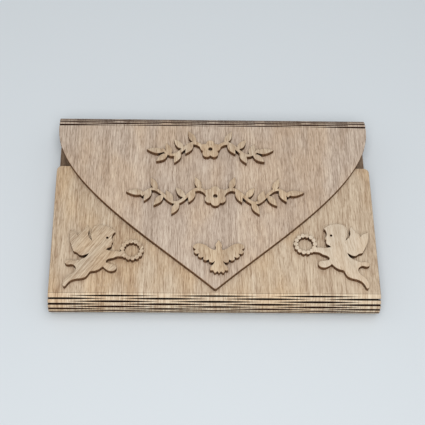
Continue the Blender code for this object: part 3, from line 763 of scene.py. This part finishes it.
# %% Finish a piece
OUTER, CUT_WALL, RIM_FACE, INNER, SHADED_SLIT_WALL = range(5)
SMOOTH_ANGLE = math.radians(32.0)
WIDE_GAP = 2.6 * MM
NARROW_GAP = 1.3 * MM


def closeness(face, walls):
    """1 where another wall of the piece faces this one as near as a narrow gap, and 0 past a wide one."""
    start = face.calc_center_median() + face.normal * FINE_RIM_WIDTH
    gap = walls.ray_cast(start, face.normal, WIDE_GAP)[3]
    return 0.0 if gap is None else min(1.0, (WIDE_GAP - gap) / (WIDE_GAP - NARROW_GAP))


def finish_of(face, outward, rows):
    """Number of the finish for a face. The sides of a bridge are wood that was never cut."""
    look = facing(face, outward)
    if look > FACE_LIKE:
        return OUTER
    if look < -FACE_LIKE:
        return INNER
    if abs(look) > WALL_LIKE:
        return RIM_FACE
    found = row_at(face.calc_center_median(), rows)
    if not found or abs(face.normal.x) > FACE_LIKE:
        return CUT_WALL
    # walls in a slit take the darker finish that carries painted shade
    return OUTER if on_bridge(found[1], face.calc_center_median().x) else SHADED_SLIT_WALL


def finish_piece(piece, outward, depth, outer, inner, body, nodes, rows=()):
    """Paint the piece by the way its faces look, note how deep they lie, and hand it over."""
    mesh = piece.data
    for material in (finishes[outer], CUT, RIM, finishes[inner], SHADED_SLIT):
        mesh.materials.append(material)
    shape = bmesh.new()
    shape.from_mesh(mesh)
    ply = shape.verts.layers.float.new("ply")
    scorch_and_shade = shape.verts.layers.float.new("scorch_and_shade")
    walls = BVHTree.FromBMesh(shape)
    for face in shape.faces:
        face.material_index = finish_of(face, outward, rows)
        # walls near another wall are noted for darkening: a deeper scorch and painted shade
        near = closeness(face, walls) if face.material_index == CUT_WALL else 0.0
        for vert in face.verts:
            vert[scorch_and_shade] = max(vert[scorch_and_shade], near)
    for vert in shape.verts:
        vert[ply] = min(1.0, max(0.0, depth(vert.co) / SHEET))
    shape.to_mesh(mesh)
    shape.free()
    only(piece)
    bpy.ops.object.shade_smooth_by_angle(angle=SMOOTH_ANGLE)
    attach(piece, body)
    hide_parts(*nodes)
    print(piece.name, len(mesh.polygons), "faces")


def flat_sheet(level, up=1.0):
    """Ways out and depths of a sheet that lies flat with its outer face at this height."""
    return (lambda point: Vector((0.0, 0.0, up))), (lambda point: (level - point.z) * up)


# these gaps get painted shade as well as a deeper scorch
print("gaps under", WIDE_GAP / MM, "mm are scorched")

# %% [markdown]
# ## Back, front, flap and pocket strips
#
# These are flat. The back's outer face is the one that it lies on, so its way out is down. Along
# a hinge each of them has half a row of slits, so they are shaped by the same rules as the
# strips next to them. The pocket strips are plain bars that are glued in three layers along both
# sides and keep the pocket open. Only their ends and burnt long sides are seen.

# %% Dress the flat sheets
BACK_ROWS = [(BOTTOM_WRAP, BOTTOM_STRIPS), (FLAP_WRAP, FLAP_STRIPS)]
FLAT_SHEETS = (
    ("back_panel", "back_sheet", "back", "envelope", flat_sheet(BACK_LOW.z, -1.0), BACK_ROWS),
    ("front_panel", "front_sheet", "front", "envelope", flat_sheet(FRONT_TOP), [(BOTTOM_WRAP, 0)]),
    ("flap", "flap_sheet", "flap", "flap", flat_sheet(FLAP_TOP), [(FLAP_WRAP, 0)]),
)
for node, name, finish, body, (outward, depth), rows in FLAT_SHEETS:
    piece = clean_copy(node, name)
    points = wall_points(piece, outward)
    for wrap, row in rows:
        shape_row(points, wrap, row, fixed=wrap is BOTTOM_WRAP)
    soften_rims(piece, outward, rows=rows)
    finish_piece(piece, outward, depth, finish, "shaded_inside", body, [node], rows)

for node in sorted(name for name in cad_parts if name.startswith("spacer_")):
    outward, depth = flat_sheet(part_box(node)[1].z)
    piece = clean_copy(node, node.replace("spacer", "pocket_strip"))
    soften_rims(piece, outward)
    finish_piece(piece, outward, depth, "spacer", "spacer", "envelope", [node])

# %% [markdown]
# ## The bottom hinge
#
# It is wrapped for good, so it is one lattice. Fifteen bars with short blocks between them would
# be simple to model, but the real strips twist, and the node already has that. A face looks out
# of this sheet if it looks away from the hinge's axis.

# %% Dress the bottom hinge


def away_from_bottom_axis(point):
    """Way out of the lattice at a point."""
    return Vector((0.0, point.y - BOTTOM_WRAP.axis.y, point.z - BOTTOM_WRAP.axis.z)).normalized()


def depth_from_bottom_axis(point):
    """How deep a point lies in the lattice."""
    return BOTTOM_WRAP.reach - math.hypot(point.y - BOTTOM_WRAP.axis.y, point.z - BOTTOM_WRAP.axis.z)


lattice_rows = [(BOTTOM_WRAP, row) for row in range(BOTTOM_STRIPS + 1)]
lattice = clean_copy("bottom_hinge", "bottom_lattice", flat=TWISTED)
cut_across(lattice)
points = wall_points(lattice, away_from_bottom_axis)
for row in range(BOTTOM_STRIPS + 1):
    shape_row(points, BOTTOM_WRAP, row, fixed=True)
soften_rims(lattice, away_from_bottom_axis, FINE_RIM_WIDTH, lattice_rows)
finish_piece(lattice, away_from_bottom_axis, depth_from_bottom_axis, "strip", "shaded_inside", "envelope",
             ["bottom_hinge"], lattice_rows)

# %% [markdown]
# ## The flap hinge
#
# Nineteen strips roll open together, each on its own joint, so each is a piece of its own with
# its own way out. One strip could be modelled and copied round the bend, but the rows are
# staggered and every strip is cut for its place, so each starts from its own node.

# %% Dress the flap hinge
for strip in range(1, FLAP_STRIPS + 1):
    node = f"hinge_slat_{strip:02d}"

    def outward(point, strip=strip):
        return FLAP_WRAP.out(strip)

    def depth(point, strip=strip):
        return FLAP_WRAP.depth(point, strip)

    rows = [(FLAP_WRAP, FLAP_STRIPS - strip), (FLAP_WRAP, FLAP_STRIPS - strip + 1)]
    piece = clean_copy(node, f"flap_hinge_strip_{strip:02d}", flat=TWISTED)
    cut_across(piece)
    points = wall_points(piece, outward)
    for wrap, row in rows:
        shape_row(points, wrap, row, fixed=False)
    soften_rims(piece, outward, FINE_RIM_WIDTH, rows)
    finish_piece(piece, outward, depth, "flap", "shaded_inside", node, [node], rows)

# %% [markdown]
# ## The glued cut-outs
#
# Cherubs, garlands and dove are cut with their own grain: the left cherub's runs across it at
# a slant, and the right one is from a lighter board. They could be drawn as curves and given a
# thickness, but the nodes already have their outlines, and only the short runs need rounding.

# %% Dress the cut-outs
CUT_OUTS = (
    ("left_cherub", "left_cherub_cut_out", "left_cherub", "envelope", "cherub"),
    ("right_cherub", "right_cherub_cut_out", "right_cherub", "envelope", "cherub"),
    ("upper_garland", "upper_leaf_garland", "cut_out", "flap", "ornament"),
    ("lower_garland", "lower_leaf_garland", "cut_out", "flap", "ornament"),
    ("dove", "flying_dove", "cut_out", "flap", "ornament"),
)
for node, name, finish, body, slot in CUT_OUTS:
    outward, depth = flat_sheet(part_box(node)[1].z)
    piece = clean_copy(node, name, SHORTEST_RUN)
    round_outline(piece, outward)
    soften_rims(piece, outward, FINE_RIM_WIDTH)
    finish_piece(piece, outward, depth, finish, finish, body, [node])
